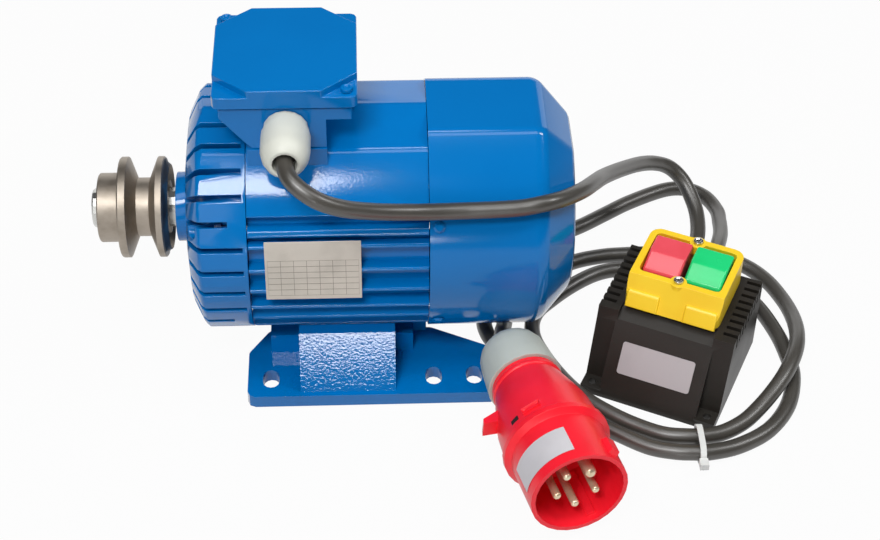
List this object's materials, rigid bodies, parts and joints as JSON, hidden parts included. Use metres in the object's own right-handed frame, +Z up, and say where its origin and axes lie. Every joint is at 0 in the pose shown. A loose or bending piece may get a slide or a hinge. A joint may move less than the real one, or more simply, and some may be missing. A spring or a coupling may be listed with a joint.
{
  "type": "electric motor",
  "caption": "Foot-mounted finned induction motor with a vee-belt pulley, terminal box, push-button starter box and an industrial plug on its coiled lead.",
  "frame": {"origin": "on the floor under the middle of the motor, from the tip of the shaft to the end of the fan cover and between the feet", "axes": "+X along the shaft from the pulley to the fan cover, -Y to the nameplate side, +Z up"},
  "size_m": [0.4423, 0.313, 0.2071],
  "materials": {
    "blue_paint": "glossy paint",
    "turned_steel": "turned",
    "bright_steel": "machined",
    "laminated_steel": "laminated",
    "copper_winding": "varnished",
    "brass": "polished",
    "pale_plastic": "satin",
    "grey_plastic": "satin",
    "black_plastic": "satin",
    "black_rubber": "satin",
    "red_plastic": "satin gloss",
    "stop_red": "glossy",
    "start_green": "glossy",
    "yellow_plastic": "satin gloss",
    "bare_plate": "satin",
    "white_nylon": "satin"
  },
  "bodies": {
    "motor": {"frame_housing": "blue_paint", "front_foot": "blue_paint", "rear_foot": "blue_paint", "drive_shield": "blue_paint", "rear_shield": "blue_paint", "fan_cover": "blue_paint", "cover_screw_1": "blue_paint", "cover_screw_2": "blue_paint", "cover_screw_3": "blue_paint", "cover_screw_4": "blue_paint", "terminal_box": "blue_paint", "terminal_lid": "blue_paint", "tie_bolt_1": "bright_steel", "tie_bolt_2": "bright_steel", "tie_bolt_3": "bright_steel", "tie_bolt_4": "bright_steel", "lid_screw_front": "bright_steel", "lid_screw_rear": "bright_steel", "drive_bearing_outer": "bright_steel", "rear_bearing_outer": "bright_steel", "wave_washer": "bright_steel", "bezel_screw_rear": "bright_steel", "bezel_screw_front": "bright_steel", "stator_core": "laminated_steel", "drive_winding": "copper_winding", "rear_winding": "copper_winding", "earth_pin": "brass", "pin_1": "brass", "pin_2": "brass", "pin_3": "brass", "pin_4": "brass", "gland_body": "pale_plastic", "gland_nut": "pale_plastic", "plug_nut": "grey_plastic", "terminal_board": "black_plastic", "switch_box": "black_plastic", "switch_block": "black_plastic", "lid_gasket": "black_rubber", "gland_seal": "black_rubber", "shaft_seal": "black_rubber", "motor_inlet": "black_rubber", "supply_inlet": "black_rubber", "motor_lead": "black_rubber", "supply_lead": "black_rubber", "plug_housing": "red_plastic", "plug_carrier": "red_plastic", "switch_bezel": "yellow_plastic", "nameplate": "bare_plate", "cable_tie": "white_nylon"},
    "rotor": {"shaft": "bright_steel", "rotor_core": "laminated_steel", "drive_bearing_inner": "bright_steel", "rear_bearing_inner": "bright_steel", "pulley": "turned_steel", "pulley_key": "bright_steel", "cooling_fan": "black_plastic", "fan_clip": "bright_steel"},
    "stop": {"stop_button": "stop_red"},
    "start": {"start_button": "start_green"}
  },
  "joints": [
    {"name": "rotor_spin", "type": "hinge", "parent": "motor", "child": "rotor", "pos_m": [0, 0, 0.09], "axis": [1, 0, 0], "continuous": true},
    {"name": "stop_press", "type": "slide", "parent": "motor", "child": "stop", "axis": [0, 0, -1], "range_m": [0, 0.003], "stiffness_N_per_m": 400, "springref_m": -0.002},
    {"name": "start_press", "type": "slide", "parent": "motor", "child": "start", "axis": [0, 0, -1], "range_m": [0, 0.003], "stiffness_N_per_m": 400, "springref_m": -0.002}
  ]
}
